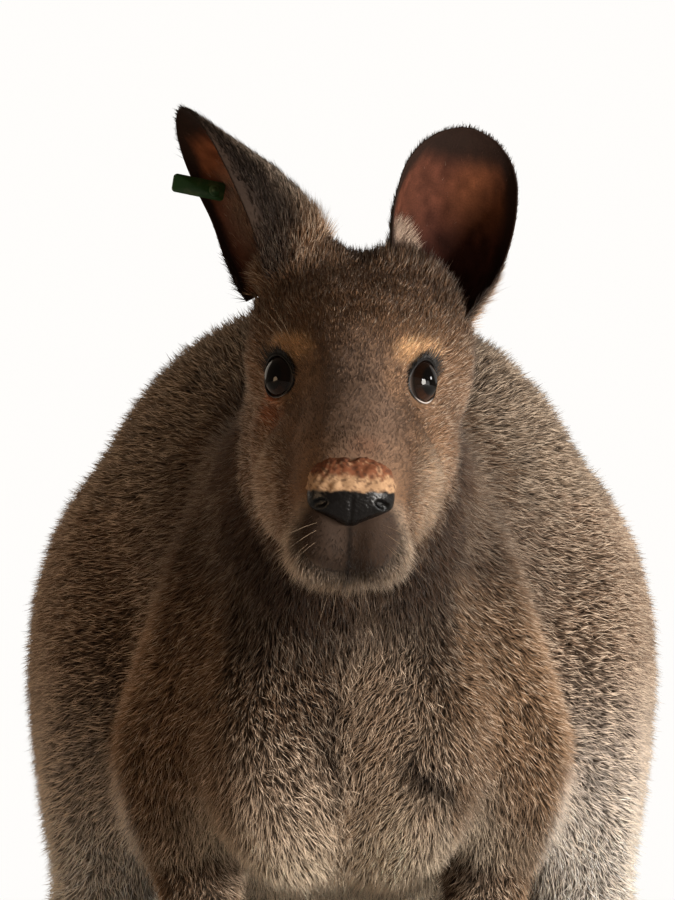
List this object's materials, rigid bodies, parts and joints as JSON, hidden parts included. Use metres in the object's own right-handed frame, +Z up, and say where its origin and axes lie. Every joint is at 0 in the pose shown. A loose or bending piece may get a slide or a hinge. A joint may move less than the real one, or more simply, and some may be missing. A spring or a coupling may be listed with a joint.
{
  "type": "wallaby",
  "caption": "Still life-size red-necked wallaby, crouched low on long hind feet, hands and tail, head raised and ears up, with a plain green ear tag",
  "frame": {"origin": "on the floor, under the middle of the model's box", "axes": "+Z up; the animal faces -Y; its left side is +X; the tail runs back along +Y"},
  "size_m": [0.2948, 1.2268, 0.5117],
  "materials": {
    "body_fur": "grizzled brown-grey fur",
    "dark_fur": "short black-brown fur of paws, feet and tail tip",
    "ear_skin": "thin furred ear",
    "nose_leather": "moist pebbled black leather with a tan scab",
    "eye_gloss": "wet glossy dark eye",
    "claw_horn": "dark horn",
    "tag_green": "dark green moulded plastic"
  },
  "bodies": {
    "root": {"head": "body_fur", "neck": "body_fur", "chest": "body_fur", "loin": "body_fur", "rump": "body_fur", "tail_base": "body_fur", "tail_middle": "body_fur", "upper_arm_left": "body_fur", "thigh_left": "body_fur", "shank_left": "body_fur", "upper_arm_right": "body_fur", "thigh_right": "body_fur", "shank_right": "body_fur", "tail_tip": "dark_fur", "forearm_left": "dark_fur", "hand_left": "dark_fur", "foot_left": "dark_fur", "ear_left": "ear_skin", "eye_left": "eye_gloss", "hand_claw_1_left": "claw_horn", "hand_claw_2_left": "claw_horn", "hand_claw_3_left": "claw_horn", "hand_claw_4_left": "claw_horn", "hand_claw_5_left": "claw_horn", "toe_claw_large_left": "claw_horn", "toe_claw_outer_left": "claw_horn", "toe_claw_grooming_left": "claw_horn", "forearm_right": "dark_fur", "hand_right": "dark_fur", "foot_right": "dark_fur", "ear_right": "ear_skin", "eye_right": "eye_gloss", "hand_claw_1_right": "claw_horn", "hand_claw_2_right": "claw_horn", "hand_claw_3_right": "claw_horn", "hand_claw_4_right": "claw_horn", "hand_claw_5_right": "claw_horn", "toe_claw_large_right": "claw_horn", "toe_claw_outer_right": "claw_horn", "toe_claw_grooming_right": "claw_horn", "nose": "nose_leather", "ear_tag": "tag_green"}
  },
  "joints": []
}
